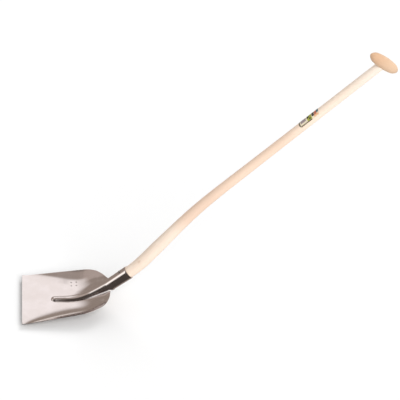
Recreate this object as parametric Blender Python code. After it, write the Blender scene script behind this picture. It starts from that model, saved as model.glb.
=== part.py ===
"""Concrete shovel: a pressed steel pan with a folded socket, on a bent wooden
handle with a turned cross grip.

Units are metres, +Z is up. The flat sole of the pan lies on z = 0 and the
handle rises towards +X. X below is counted from the front edge; the empty
that carries every piece puts the origin on the sole, SOLE_POINT behind it.
"""
import math

import bpy
import bmesh
from mathutils import Matrix, Vector

# The pan
SHEET = 0.002
FRONT_HALF_WIDTH = 0.130
CORNER_HALF_WIDTH = 0.1175
CORNER_START = 0.203
REAR_EDGE = 0.296
CORNER_POWER = 1.85
SOLE_POINT = 0.050
SOLE_LENGTH = 0.145
REAR_RISE_RADIUS = 0.195
REAR_RISE_ANGLE = math.radians(26.9)
RIM_RISE_START = 0.012
RIM_SLOPE = 0.170
RIM_HEIGHT = 0.0403
RIM_REAR_RISE = 0.0122
DISH_POWER = 3.4
FRONT_DISH_EXTRA = 11.6
FRONT_DISH_FADE = 0.050
CORNER_DEPTH = 0.006
CORNER_DEPTH_RUN = (0.144, 0.268, 0.273, 0.2935)
CORNER_DEPTH_POWERS = (1.3, 1.1)
REAR_NARROW = 0.075

# The hollow rib and the socket that it grows into
RIB_TIP = 0.097
RIB_NOSE = 0.014
RIB_TIP_SHARE = 0.22
RIB_HALF_WIDTH = 0.012
RIB_HEIGHT = 0.0096
RIB_GROWTH_START = 0.110
RIB_GROWTH_POWER = 1.9
RIB_TILT_START = 0.130
NECK_HALF_WIDTH = 0.0206
NECK_HEIGHT = 0.0294
SOCKET_RADIUS_NECK = 0.0206
SOCKET_RADIUS_MOUTH = 0.0224
SOCKET_CURL = math.radians(66.0)
SOCKET_CURL_RUN = 0.16
FOOT_FILLET_TIP = 0.003
FOOT_FILLET_NECK = 0.014

# The handle, measured along its middle line from the socket's mouth
MOUTH_X = 0.358
MOUTH_Z = 0.1175
SOCKET_SLOPE = math.radians(39.5)
SOCKET_LENGTH = 0.0889
FOOT_LENGTH = 0.124
FOOT_RADIUS = 0.0085
FOOT_CLEARANCE = 0.0006
LOWER_BEND = math.radians(11.8)
LOWER_BEND_START = -0.025
LOWER_BEND_LENGTH = 0.120
UPPER_BEND = math.radians(6.7)
UPPER_BEND_START = 0.205
UPPER_BEND_LENGTH = 0.283
WOOD_RADIUS_MOUTH = 0.0198
WOOD_RADIUS_BELLY = 0.0212
WOOD_RADIUS_TOP = 0.0149
BELLY_END = 0.150
TAPER_LENGTH = 0.270
PATH_STEP = 0.004

# The cross grip
GRIP_AT = 1.193
GRIP_LENGTH = 0.128
GRIP_RADIUS = 0.0207
GRIP_TAPER = 0.0085
GRIP_ROUND_SHARE = 0.36
GRIP_TURN = math.radians(102.0)
TENON_TIP_RADIUS = 0.0122
TENON_TOP = 1.200

# Small pieces
RIVET_AT = -0.026
RIVET_RADIUS = 0.0025
RIVET_HEAD_RADIUS = 0.0056
RIVET_HEAD_HEIGHT = 0.0026
RIVET_TAIL_RADIUS = 0.0044
RIVET_TAIL_HEIGHT = 0.0022
WASHER_RADIUS = 0.0065
WASHER_THICKNESS = 0.0012
WASHER_SINK = 0.0016
NAIL_AT = 1.188
NAIL_RADIUS = 0.0014
NAIL_LENGTH = 0.030
NAIL_HEAD_RADIUS = 0.0032
NAIL_HEAD_THICKNESS = 0.0010
NAIL_SINK = 0.0022
LABEL_START = 0.826
LABEL_LENGTH = 0.086
LABEL_HALF_ANGLE = math.radians(72.0)
LABEL_TURN = math.radians(-5.0)
LABEL_CORNER = 0.006
LABEL_THICKNESS = 0.0003

GAP = 0.0003


def clear_scene():
    for old in list(bpy.data.objects):
        bpy.data.objects.remove(old, do_unlink=True)


def smooth(value):
    value = min(1.0, max(0.0, value))
    return value * value * (3.0 - 2.0 * value)


def mix(a, b, share):
    return a + (b - a) * share


def make_material(name, color, roughness, metallic=0.0):
    material = bpy.data.materials.new(name)
    material.use_nodes = True
    shader = material.node_tree.nodes["Principled BSDF"]
    shader.inputs["Base Color"].default_value = (*color, 1.0)
    shader.inputs["Roughness"].default_value = roughness
    shader.inputs["Metallic"].default_value = metallic
    return material


def add_object(name, mesh, material, carrier):
    piece = bpy.data.objects.new(name, mesh)
    mesh.materials.append(material)
    bpy.context.scene.collection.objects.link(piece)
    piece.parent = carrier
    return piece


def mesh_from_bmesh(name, form):
    mesh = bpy.data.meshes.new(name)
    form.normal_update()
    form.to_mesh(mesh)
    form.free()
    return mesh


def shade_round(mesh, angle=35.0):
    mesh.shade_smooth()
    mesh.set_sharp_from_angle(angle=math.radians(angle))


def loft(form, rows, closed=False):
    """Join rows of points, all of one length, by quads; return the rows' vertices."""
    grid = [[form.verts.new(point) for point in row] for row in rows]
    for first, second in zip(grid, grid[1:]):
        count = len(first)
        for index in range(count if closed else count - 1):
            after = (index + 1) % count
            form.faces.new((first[index], first[after], second[after], second[index]))
    return grid


def apply_cut(piece, cutter):
    """Cut one piece with a hidden helper body."""
    cutter.hide_render = True
    cutter.display_type = "WIRE"
    cut = piece.modifiers.new("cut_" + cutter.name, "BOOLEAN")
    cut.operation = "DIFFERENCE"
    cut.solver = "EXACT"
    cut.object = cutter


def cone_cutter(name, carrier, radius_low, radius_high, depth, sides=24):
    form = bmesh.new()
    bmesh.ops.create_cone(form, cap_ends=True, segments=sides, radius1=radius_low,
                          radius2=radius_high, depth=depth)
    cutter = bpy.data.objects.new(name, mesh_from_bmesh(name, form))
    bpy.context.scene.collection.objects.link(cutter)
    cutter.parent = carrier
    return cutter


# The handle's middle line

def handle_slope(along):
    lower = smooth((along - LOWER_BEND_START) / LOWER_BEND_LENGTH)
    upper = smooth((along - UPPER_BEND_START) / UPPER_BEND_LENGTH)
    return SOCKET_SLOPE + LOWER_BEND * lower - UPPER_BEND * upper


def handle_point(along):
    """The middle line's point, summed up in short steps from the mouth."""
    count = max(1, round(abs(along) / PATH_STEP))
    step = along / count
    x = MOUTH_X
    z = MOUTH_Z
    for index in range(count):
        slope = handle_slope(step * (index + 0.5))
        x += step * math.cos(slope)
        z += step * math.sin(slope)
    return Vector((x, 0.0, z))


def handle_radius(along):
    neck = SOCKET_RADIUS_NECK - SHEET - GAP - FOOT_CLEARANCE
    if along < -SOCKET_LENGTH:
        share = smooth((-SOCKET_LENGTH - along) / (FOOT_LENGTH - SOCKET_LENGTH))
        return mix(neck, FOOT_RADIUS, share)
    if along < 0.0:
        share = (along + SOCKET_LENGTH) / SOCKET_LENGTH
        return mix(neck, WOOD_RADIUS_MOUTH, share)
    if along < BELLY_END:
        return mix(WOOD_RADIUS_MOUTH, WOOD_RADIUS_BELLY, smooth(along / (0.5 * BELLY_END)))
    slim = math.exp(-(along - BELLY_END) / TAPER_LENGTH)
    return mix(WOOD_RADIUS_TOP, WOOD_RADIUS_BELLY, slim)


def tenon_radius(along):
    """The straight taper inside the grip."""
    start = GRIP_AT - GRIP_RADIUS
    share = (along - start) / (TENON_TOP - start)
    return mix(handle_radius(start), TENON_TIP_RADIUS, share)


def handle_frame(along):
    """Place at a point of the handle: Z along it, -X to its front, Y to the far side."""
    return Matrix.Translation(handle_point(along)) @ Matrix.Rotation(
        math.pi / 2.0 - handle_slope(along), 4, "Y")


def ring(along, radius, sides, start=0.0):
    frame = handle_frame(along)
    points = []
    for index in range(sides):
        turn = start + 2.0 * math.pi * index / sides
        points.append(frame @ Vector((radius * math.cos(turn), radius * math.sin(turn), 0.0)))
    return points


# The pan's sheet, by its upper face

def pan_middle(x):
    """Height of the upper face along the middle: flat, an arc, then straight."""
    run = x - SOLE_LENGTH
    arc_run = REAR_RISE_RADIUS * math.sin(REAR_RISE_ANGLE)
    if run <= 0.0:
        return SHEET
    if run < arc_run:
        return SHEET + REAR_RISE_RADIUS - math.sqrt(REAR_RISE_RADIUS ** 2 - run ** 2)
    arc_rise = REAR_RISE_RADIUS * (1.0 - math.cos(REAR_RISE_ANGLE))
    return SHEET + arc_rise + (run - arc_run) * math.tan(REAR_RISE_ANGLE)


def pan_half_width(x):
    if x <= CORNER_START:
        return mix(FRONT_HALF_WIDTH, CORNER_HALF_WIDTH, x / CORNER_START)
    share = min(1.0, (x - CORNER_START) / (REAR_EDGE - CORNER_START))
    bulge = (1.0 - share ** CORNER_POWER) ** (1.0 / CORNER_POWER)
    return mix(NECK_HALF_WIDTH, CORNER_HALF_WIDTH, bulge)


def rim_height(x):
    ramp = x - RIM_RISE_START
    side = RIM_SLOPE * 0.5 * (ramp + math.hypot(ramp, RIM_RISE_START))
    side = min(side, RIM_HEIGHT)
    rear = smooth((REAR_NARROW - pan_half_width(x)) / (REAR_NARROW - NECK_HALF_WIDTH))
    return SHEET + side + RIM_REAR_RISE * rear


def corner_depth(x):
    """How far the sheet sinks between the rib and the rim, in the rear corners."""
    start, full, fade, end = CORNER_DEPTH_RUN
    risen = smooth((x - start) / (full - start))
    return CORNER_DEPTH * risen * (1.0 - smooth((x - fade) / (end - fade)))


def hollow(x, y):
    """0 at the rib's foot and at the rim, and 1 where the corner is deepest."""
    foot = rib_half_width(x)
    share = min(1.0, max(0.0, (abs(y) - foot) / (pan_half_width(x) - foot)))
    inner, outer = CORNER_DEPTH_POWERS
    deepest = inner / (inner + outer)
    highest = deepest ** inner * (1.0 - deepest) ** outer
    return share ** inner * (1.0 - share) ** outer / highest


def pan_height(x, y):
    """The middle's height and the rim's, joined by a power curve and sunk between them."""
    share = min(1.0, abs(y) / pan_half_width(x))
    power = DISH_POWER + FRONT_DISH_EXTRA * math.exp(-x / FRONT_DISH_FADE)
    wall = mix(pan_middle(x), rim_height(x), share ** power)
    return wall - corner_depth(x) * hollow(x, y)


# The rib's and socket's cross section

def tilt_share(x):
    return smooth((x - RIB_TILT_START) / (REAR_EDGE - RIB_TILT_START))


def rib_tilt(x):
    return SOCKET_SLOPE * tilt_share(x)


def rib_half_width(x):
    slow = smooth((x - RIB_GROWTH_START) / (REAR_EDGE - RIB_GROWTH_START))
    return mix(RIB_HALF_WIDTH, NECK_HALF_WIDTH, slow)


def rib_height(x):
    grown = max(0.0, (x - RIB_GROWTH_START) / (REAR_EDGE - RIB_GROWTH_START))
    return RIB_HEIGHT + (NECK_HEIGHT - RIB_HEIGHT) * grown ** RIB_GROWTH_POWER


def socket_radius(share):
    return mix(SOCKET_RADIUS_NECK, SOCKET_RADIUS_MOUTH, share)


def even_points(points, count):
    """Walk a polyline and return count + 1 points at even distances."""
    lengths = [0.0]
    for first, second in zip(points, points[1:]):
        lengths.append(lengths[-1] + math.dist(first, second))
    result = []
    index = 0
    for step in range(count + 1):
        target = lengths[-1] * step / count
        while index < len(lengths) - 2 and lengths[index + 1] < target:
            index += 1
        span = lengths[index + 1] - lengths[index]
        share = (target - lengths[index]) / span
        share = min(1.0, max(0.0, share))
        first = points[index]
        second = points[index + 1]
        result.append((mix(first[0], second[0], share), mix(first[1], second[1], share)))
    return result


def rib_section(half_width, height, curl, leg, count):
    """Half a section from its foot to its crest, as (sideways, above the foot).

    A half ellipse stands on two legs; curl bends the legs inwards round the wood.
    """
    crest = min(height, half_width)
    points = []
    for step in range(13):
        turn = 0.5 * math.pi * step / 12
        points.append((half_width * math.sin(turn), crest * math.cos(turn)))
    for step in range(1, 9):
        run = leg * step / 8
        bend = curl * step / 8
        if curl > 0.0:
            arc = leg / curl
            points.append((half_width - arc * (1.0 - math.cos(bend)), -arc * math.sin(bend)))
        elif leg > 0.0:
            points.append((half_width, -run))
    lowest = points[-1][1]
    half = even_points([(side, up - lowest) for side, up in points], count)
    return list(reversed(half))


def nose_share(x):
    """Share of the rib's width and height that its round tip has reached at x."""
    ahead = (RIB_TIP + RIB_NOSE - x) / RIB_NOSE
    return math.sqrt(1.0 - ahead ** 2) if ahead < 1.0 else 0.0


def rib_row(x, count):
    """Half of a row of the rib in the pan, from its foot to its crest."""
    half_width = rib_half_width(x)
    if x < RIB_TIP + RIB_NOSE:
        share = nose_share(x)
        reach = half_width * max(share, RIB_TIP_SHARE)
        row = []
        for step in range(count + 1):
            turn = 0.5 * math.pi * step / count
            y = reach * math.cos(turn)
            row.append(Vector((x, y, pan_height(x, y) + rib_height(x) * share * math.sin(turn))))
        return row
    height = rib_height(x)
    section = rib_section(half_width, height, 0.0, max(0.0, height - half_width), count)
    return place_section(section, x, pan_height(x, half_width), rib_tilt(x))


def place_section(section, x, z, tilt):
    up = Vector((-math.sin(tilt), 0.0, math.cos(tilt)))
    return [Vector((x, side, z)) + up * above for side, above in section]


def socket_row(share, count):
    """Half of a row of the socket, share 0 at the neck and 1 at the mouth."""
    radius = socket_radius(share)
    neck_leg = NECK_HEIGHT - NECK_HALF_WIDTH
    folded = smooth(share / SOCKET_CURL_RUN)
    leg = mix(neck_leg, radius * SOCKET_CURL, folded)
    curl = SOCKET_CURL * folded
    section = rib_section(radius, radius, curl, leg, count)
    crest = section[-1][1]
    frame = handle_frame(SOCKET_LENGTH * (share - 1.0))
    return [frame @ Vector((crest - radius - above, side, 0.0)) for side, above in section]


def pan_stations():
    front = [0.0, 0.022, 0.045, 0.068, 0.085, 0.093]
    nose = [RIB_TIP + RIB_NOSE * share for share in (0.0, 0.05, 0.17, 0.38, 0.66, 1.0)]
    middle = [0.122, 0.136, 0.150, 0.165, 0.180, 0.195, 0.208, 0.221, 0.233, 0.244, 0.254]
    rear = [0.263, 0.271, 0.278, 0.284, 0.289, 0.2932]
    return front + nose + middle + rear


RIB_COLUMNS = 10
WING_COLUMNS = 12
WING_CROWDING = 0.8
SOCKET_SHARES = (0.0, 0.03, 0.06, 0.10, 0.16, 0.35, 0.65, 1.0)


def path_length(points):
    return sum((second - first).length for first, second in zip(points, points[1:]))


def path_point(points, distance):
    """The point at a distance along a row of points."""
    for first, second in zip(points, points[1:]):
        step = (second - first).length
        if distance <= step:
            return first.lerp(second, distance / step)
        distance -= step
    return points[-1]


def filleted(wing, rib, x):
    """Round the corner between the wing and the rib with one smooth curve."""
    outwards = [rib[0]] + list(reversed(wing))
    reach = mix(FOOT_FILLET_TIP, FOOT_FILLET_NECK, tilt_share(x) ** 2)
    reach = min(reach, 0.5 * path_length(outwards), 0.35 * path_length(rib))
    start = path_point(outwards, reach)
    end = path_point(rib, reach)
    foot = rib[0]
    rounded = []
    for side, line in ((-0.5, outwards), (0.5, rib)):
        moved = []
        distance = 0.0
        for index, point in enumerate(line):
            if index:
                distance += (point - line[index - 1]).length
            if distance < reach:
                t = 0.5 + side * distance / reach
                point = start * (1.0 - t) ** 2 + foot * 2.0 * t * (1.0 - t) + end * t ** 2
            moved.append(point)
        rounded.append(moved)
    return list(reversed(rounded[0][1:])), rounded[1]


def crowded(share):
    """Even steps drawn together towards both ends."""
    return mix(share, 0.5 - 0.5 * math.cos(math.pi * share), WING_CROWDING)


def half_rows():
    """Rows of the sheet from the rim over the wing and rib to the crest."""
    rows = []
    for x in pan_stations():
        rib = rib_row(x, RIB_COLUMNS)
        foot = rib[0].y
        reach = pan_half_width(x) - foot
        wing = []
        for step in range(WING_COLUMNS, 0, -1):
            y = foot + reach * crowded(step / WING_COLUMNS)
            wing.append(Vector((x, y, pan_height(x, y))))
        wing, rib = filleted(wing, rib, x)
        rows.append(wing + rib)
    for share in SOCKET_SHARES:
        rib = socket_row(share, RIB_COLUMNS)
        rows.append([None] * WING_COLUMNS + rib)
    return rows


def mirrored(point):
    return Vector((point.x, -point.y, point.z))


def make_blade(carrier, steel):
    form = bmesh.new()
    rows = half_rows()
    pan_count = len(pan_stations())
    pan_rows = []
    for row in rows[:pan_count]:
        pan_rows.append(row + [mirrored(point) for point in reversed(row[:-1])])
    grid = loft(form, pan_rows)
    # The wings close to a point at the neck, where only the socket goes on
    socket_rows = []
    for row in rows[pan_count:]:
        rib = row[WING_COLUMNS:]
        socket_rows.append(rib + [mirrored(point) for point in reversed(rib[:-1])])
    socket_grid = loft(form, socket_rows)
    last = grid[-1]
    neck = socket_grid[0]
    for index in range(len(neck) - 1):
        left = last[WING_COLUMNS + index]
        right = last[WING_COLUMNS + index + 1]
        form.faces.new((left, right, neck[index + 1], neck[index]))
    for index in range(WING_COLUMNS):
        form.faces.new((last[index], last[index + 1], neck[0]))
        far = len(last) - 1 - index
        form.faces.new((last[far - 1], last[far], neck[-1]))
    bmesh.ops.recalc_face_normals(form, faces=form.faces)
    if sum(face.normal.z for face in form.faces) < 0.0:
        bmesh.ops.reverse_faces(form, faces=form.faces)
    mesh = mesh_from_bmesh("blade", form)
    shade_round(mesh, 50.0)
    blade = add_object("blade", mesh, steel, carrier)
    wall = blade.modifiers.new("sheet", "SOLIDIFY")
    wall.thickness = SHEET
    wall.offset = -1.0
    hole = cone_cutter("blade_rivet_hole", carrier, RIVET_RADIUS + GAP, RIVET_RADIUS + GAP, 0.012, 16)
    hole.matrix_local = handle_frame(RIVET_AT) @ Matrix.Translation(
        (-socket_radius(0.7), 0.0, 0.0)) @ Matrix.Rotation(math.pi / 2.0, 4, "Y")
    apply_cut(blade, hole)
    return blade


# The wooden pieces

def handle_stations():
    foot = [-FOOT_LENGTH + 0.003, -FOOT_LENGTH + 0.012, -0.100, -SOCKET_LENGTH]
    socket = [-0.060, -0.030, 0.0]
    bent = [0.025 * step for step in range(1, 21)]
    straight = [0.560, 0.640, 0.720, 0.800, 0.880, 0.960, 1.040, 1.120]
    return foot + socket + bent + straight + [GRIP_AT - GRIP_RADIUS]


def make_handle(carrier, wood):
    sides = 24
    rows = [ring(-FOOT_LENGTH, handle_radius(-FOOT_LENGTH) * 0.6, sides)]
    for along in handle_stations():
        rows.append(ring(along, handle_radius(along), sides))
    rows.append(ring(TENON_TOP, TENON_TIP_RADIUS, sides))
    form = bmesh.new()
    grid = loft(form, rows, closed=True)
    form.faces.new(grid[0])
    form.faces.new(list(reversed(grid[-1])))
    bmesh.ops.recalc_face_normals(form, faces=form.faces)
    mesh = mesh_from_bmesh("handle", form)
    shade_round(mesh)
    handle = add_object("handle", mesh, wood, carrier)

    shank = cone_cutter("handle_rivet_hole", carrier, RIVET_RADIUS + GAP, RIVET_RADIUS + GAP, 0.080, 16)
    shank.matrix_local = handle_frame(RIVET_AT) @ Matrix.Rotation(math.pi / 2.0, 4, "Y")
    apply_cut(handle, shank)

    seat = cone_cutter("handle_washer_seat", carrier, WASHER_RADIUS + 2.0 * GAP,
                       WASHER_RADIUS + 2.0 * GAP, 0.010, 20)
    seat.matrix_local = handle_frame(RIVET_AT) @ Matrix.Translation(
        (washer_seat() + 0.005, 0.0, 0.0)) @ Matrix.Rotation(math.pi / 2.0, 4, "Y")
    apply_cut(handle, seat)

    nail = cone_cutter("handle_nail_hole", carrier, NAIL_RADIUS + GAP, NAIL_RADIUS + GAP, 0.080, 12)
    nail.matrix_local = nail_frame()
    apply_cut(handle, nail)
    return handle


def grip_frame():
    return handle_frame(GRIP_AT) @ Matrix.Rotation(GRIP_TURN, 4, "Z")


def grip_profile():
    """Radius along half the grip: a barrel with a rounded end."""
    half = 0.5 * GRIP_LENGTH
    points = []
    for share in (0.0, 0.12, 0.24, 0.36, 0.47, 0.57, 0.66, 0.74, 0.81, 0.87, 0.92, 0.96, 0.985):
        barrel = GRIP_RADIUS - GRIP_TAPER * share ** 2
        end = max(0.0, (share - 1.0 + GRIP_ROUND_SHARE) / GRIP_ROUND_SHARE)
        points.append((half * share, barrel * math.sqrt(1.0 - end ** 2)))
    return points


def make_grip(carrier, wood):
    sides = 24
    half = grip_profile()
    profile = [(-run, radius) for run, radius in reversed(half[1:])] + half
    rows = []
    for run, radius in profile:
        row = []
        for index in range(sides):
            turn = 2.0 * math.pi * index / sides
            row.append(Vector((radius * math.cos(turn), run, radius * math.sin(turn))))
        rows.append(row)
    form = bmesh.new()
    grid = loft(form, rows, closed=True)
    for row, end in ((grid[0], -1.0), (grid[-1], 1.0)):
        tip = form.verts.new((0.0, end * 0.5 * GRIP_LENGTH, 0.0))
        for index in range(sides):
            form.faces.new((row[index], row[(index + 1) % sides], tip))
    bmesh.ops.recalc_face_normals(form, faces=form.faces)
    mesh = mesh_from_bmesh("t_grip", form)
    shade_round(mesh)
    grip = add_object("t_grip", mesh, wood, carrier)
    grip.matrix_local = grip_frame()

    low = GRIP_AT - GRIP_RADIUS - 0.004
    high = TENON_TOP + GAP
    bore = cone_cutter("grip_bore", carrier, tenon_radius(low) + GAP, tenon_radius(high) + GAP, high - low)
    bore.matrix_local = handle_frame(0.5 * (low + high))
    apply_cut(grip, bore)

    nail = cone_cutter("grip_nail_hole", carrier, NAIL_RADIUS + GAP, NAIL_RADIUS + GAP, NAIL_LENGTH + 0.002, 12)
    nail.matrix_local = nail_frame() @ Matrix.Translation((0.0, 0.0, 0.001 - 0.5 * NAIL_LENGTH))
    apply_cut(grip, nail)

    sink = cone_cutter("grip_nail_sink", carrier, NAIL_HEAD_RADIUS + GAP, NAIL_HEAD_RADIUS + GAP, 0.012, 16)
    sink.matrix_local = nail_frame() @ Matrix.Translation((0.0, 0.0, 0.006 - GAP))
    apply_cut(grip, sink)
    return grip


# The small pieces

def washer_seat():
    """Distance from the middle line to the flat that the washer rests on."""
    return handle_radius(RIVET_AT) - WASHER_SINK


def turned(name, profile, sides):
    """A round body from (radius, height) points, closed on the axis at both ends."""
    form = bmesh.new()
    rows = []
    for radius, height in profile:
        rows.append([Vector((radius * math.cos(2.0 * math.pi * index / sides),
                             radius * math.sin(2.0 * math.pi * index / sides), height))
                     for index in range(sides)])
    grid = loft(form, rows, closed=True)
    form.faces.new(grid[0])
    form.faces.new(list(reversed(grid[-1])))
    bmesh.ops.recalc_face_normals(form, faces=form.faces)
    mesh = mesh_from_bmesh(name, form)
    shade_round(mesh)
    return mesh


def dome(radius, height, base, direction):
    """Three rings of a low round head over a base."""
    return [(radius * math.cos(turn), base + direction * height * math.sin(turn))
            for turn in (0.0, math.radians(35.0), math.radians(65.0))]


def make_rivet(carrier, steel):
    """Head on the socket's crest, shank through the wood, tail over the washer."""
    crest = socket_radius(1.0 + RIVET_AT / SOCKET_LENGTH) + GAP
    tail = -(washer_seat() + GAP + WASHER_THICKNESS + GAP)
    lower = list(reversed(dome(RIVET_TAIL_RADIUS, RIVET_TAIL_HEIGHT, tail, -1.0)))
    upper = dome(RIVET_HEAD_RADIUS, RIVET_HEAD_HEIGHT, crest, 1.0)
    profile = lower + [(RIVET_RADIUS, tail), (RIVET_RADIUS, crest)] + upper
    rivet = add_object("socket_rivet", turned("socket_rivet", profile, 16), steel, carrier)
    rivet.matrix_local = handle_frame(RIVET_AT) @ Matrix.Rotation(-math.pi / 2.0, 4, "Y")
    return rivet


def make_washer(carrier, steel):
    form = bmesh.new()
    sides = 20
    rows = []
    inner = RIVET_RADIUS + GAP
    low = -(washer_seat() + GAP + WASHER_THICKNESS)
    high = -(washer_seat() + GAP)
    for radius, height in ((inner, low), (WASHER_RADIUS, low), (WASHER_RADIUS, high), (inner, high)):
        rows.append([Vector((radius * math.cos(2.0 * math.pi * index / sides),
                             radius * math.sin(2.0 * math.pi * index / sides), height))
                     for index in range(sides)])
    grid = loft(form, rows, closed=True)
    for index in range(sides):
        after = (index + 1) % sides
        form.faces.new((grid[3][index], grid[3][after], grid[0][after], grid[0][index]))
    bmesh.ops.recalc_face_normals(form, faces=form.faces)
    mesh = mesh_from_bmesh("rivet_washer", form)
    shade_round(mesh)
    washer = add_object("rivet_washer", mesh, steel, carrier)
    washer.matrix_local = handle_frame(RIVET_AT) @ Matrix.Rotation(-math.pi / 2.0, 4, "Y")
    return washer


def nail_frame():
    """Across handle and grip, Z out of the far side, origin at the sunk head's seat."""
    across = handle_frame(NAIL_AT) @ Matrix.Rotation(GRIP_TURN, 4, "Z")
    outwards = across @ Matrix.Rotation(math.pi / 2.0, 4, "Y")
    depth = math.sqrt(GRIP_RADIUS ** 2 - (GRIP_AT - NAIL_AT) ** 2) - NAIL_SINK
    return outwards @ Matrix.Translation((0.0, 0.0, depth))


def make_nail(carrier, steel):
    tip = -NAIL_LENGTH
    profile = [(NAIL_RADIUS * 0.25, tip), (NAIL_RADIUS, tip + 0.003), (NAIL_RADIUS, 0.0),
               (NAIL_HEAD_RADIUS, 0.0), (NAIL_HEAD_RADIUS, NAIL_HEAD_THICKNESS)]
    nail = add_object("grip_nail", turned("grip_nail", profile, 12), steel, carrier)
    nail.matrix_local = nail_frame()
    return nail


def make_label(carrier, paper):
    """A thin sticker with round corners, wrapped over the handle's front."""
    form = bmesh.new()
    across = 16
    rows = []
    inner = []
    corner = [LABEL_CORNER * (1.0 - math.cos(0.5 * math.pi * step / 4)) for step in range(5)]
    ends = [LABEL_LENGTH - run for run in reversed(corner)]
    for run in corner + [LABEL_LENGTH / 2.0] + ends:
        along = LABEL_START + run
        to_end = min(run, LABEL_LENGTH - run, LABEL_CORNER)
        trim = LABEL_CORNER - math.sqrt(LABEL_CORNER ** 2 - (LABEL_CORNER - to_end) ** 2)
        reach = LABEL_HALF_ANGLE - trim / handle_radius(along)
        frame = handle_frame(along)
        for lift, store in ((GAP + LABEL_THICKNESS, rows), (GAP, inner)):
            radius = handle_radius(along) + lift
            row = []
            for index in range(across + 1):
                turn = math.pi + LABEL_TURN + reach * (2.0 * index / across - 1.0)
                row.append(frame @ Vector((radius * math.cos(turn), radius * math.sin(turn), 0.0)))
            store.append(row)
    outer_grid = loft(form, rows)
    inner_grid = loft(form, inner)
    outer_edge = border(outer_grid)
    inner_edge = border(inner_grid)
    count = len(outer_edge)
    for index in range(count):
        after = (index + 1) % count
        form.faces.new((outer_edge[index], outer_edge[after], inner_edge[after], inner_edge[index]))
    bmesh.ops.recalc_face_normals(form, faces=form.faces)
    mesh = mesh_from_bmesh("label", form)
    shade_round(mesh)
    return add_object("label", mesh, paper, carrier)


def border(grid):
    """The vertices round a grid's outside, in order."""
    left = [row[0] for row in reversed(grid[1:-1])]
    right = [row[-1] for row in grid[1:-1]]
    return list(grid[0]) + right + list(reversed(grid[-1])) + left


def build():
    clear_scene()
    carrier = bpy.data.objects.new("shovel", None)
    bpy.context.scene.collection.objects.link(carrier)
    carrier.location = (-SOLE_POINT, 0.0, 0.0)

    pan_steel = make_material("ground_steel", (0.82, 0.77, 0.75), 0.16, 1.0)
    rivet_steel = make_material("rivet_steel", (0.45, 0.42, 0.40), 0.40, 1.0)
    pale_wood = make_material("handle_wood", (0.90, 0.71, 0.56), 0.52)
    grip_wood = make_material("grip_wood", (0.82, 0.52, 0.30), 0.44)
    paper = make_material("label_paper", (0.80, 0.76, 0.62), 0.45)

    make_blade(carrier, pan_steel)
    make_handle(carrier, pale_wood)
    make_grip(carrier, grip_wood)
    make_rivet(carrier, rivet_steel)
    make_washer(carrier, rivet_steel)
    make_nail(carrier, rivet_steel)
    make_label(carrier, paper)


build()
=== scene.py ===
# %% [markdown]
# # A concrete shovel
# A square-mouthed shovel for sand, gravel and wet concrete. One steel sheet is
# pressed into a dished pan, and a hollow rib grows out of it into a folded
# socket. A bent wooden stick sits in the socket and carries a turned cross grip.
#
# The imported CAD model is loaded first. It is the fixed frame: every piece that
# is made here lies exactly where the CAD solid of the same part lies, and only
# its surface is finer. Units are metres and +Z is up. The pan's flat sole lies
# on z = 0, and the handle rises towards +X.

# %% Load the frame and the tools
import math

import bpy
from mathutils import Matrix, Vector


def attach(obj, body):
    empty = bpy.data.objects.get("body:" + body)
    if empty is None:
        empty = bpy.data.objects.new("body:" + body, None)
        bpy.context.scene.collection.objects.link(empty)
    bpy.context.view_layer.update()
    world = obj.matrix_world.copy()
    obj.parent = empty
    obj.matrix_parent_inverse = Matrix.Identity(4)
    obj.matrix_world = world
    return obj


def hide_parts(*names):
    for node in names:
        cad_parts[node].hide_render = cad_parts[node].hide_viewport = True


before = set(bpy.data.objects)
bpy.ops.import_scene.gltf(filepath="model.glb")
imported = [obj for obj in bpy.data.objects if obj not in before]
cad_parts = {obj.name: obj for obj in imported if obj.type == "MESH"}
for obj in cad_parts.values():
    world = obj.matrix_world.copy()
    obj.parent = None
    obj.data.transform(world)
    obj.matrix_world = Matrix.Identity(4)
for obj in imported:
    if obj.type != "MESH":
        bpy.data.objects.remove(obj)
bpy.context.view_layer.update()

# %% [markdown]
# ## Small helpers
# Blender's operators act on everything that is selected, and the loaded nodes
# are selected, so each piece starts by deselecting all. Round shapes that grow
# ring by ring, such as the grip, the rivet and the nail, share one helper: it
# extrudes the selected ring, then moves it and scales it about its own middle.

# %% Start and finish a piece


def begin():
    """Deselect everything, so that an operator acts on the new piece alone."""
    bpy.ops.object.select_all(action="DESELECT")


def claim(name):
    """Name the object that an operator has just made."""
    piece = bpy.context.object
    piece.name = name
    piece.data.name = name
    return piece


def settle(piece, place=None):
    """Move the piece to its place and put that place into its mesh."""
    if place is not None:
        piece.matrix_world = place
    bpy.ops.object.transform_apply(location=True, rotation=True, scale=True)


def add_modifier(piece, kind, name, **settings):
    """Add a modifier with its settings and apply it at once."""
    modifier = piece.modifiers.new(name, kind)
    for key, value in settings.items():
        setattr(modifier, key, value)
    bpy.ops.object.modifier_apply(modifier=modifier.name)


def edit_all():
    """Open the piece for editing with everything selected."""
    bpy.ops.object.mode_set(mode="EDIT")
    bpy.ops.mesh.select_all(action="SELECT")


def cut_with(piece, cutter):
    """Cut the cutter's shape out of a piece and throw the cutter away."""
    begin()
    bpy.context.view_layer.objects.active = piece
    piece.select_set(True)
    add_modifier(piece, "BOOLEAN", cutter.name, operation="DIFFERENCE", solver="EXACT",
                 object=cutter)
    bpy.data.objects.remove(cutter)


def outward():
    """Turn all faces of the piece being edited outwards."""
    edit_all()
    bpy.ops.mesh.normals_make_consistent(inside=False)
    bpy.ops.object.mode_set(mode="OBJECT")


def soften(degrees=35.0):
    """Shade the piece smooth, but keep edges that bend more than this."""
    bpy.ops.object.shade_smooth_by_angle(angle=math.radians(degrees))


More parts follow.
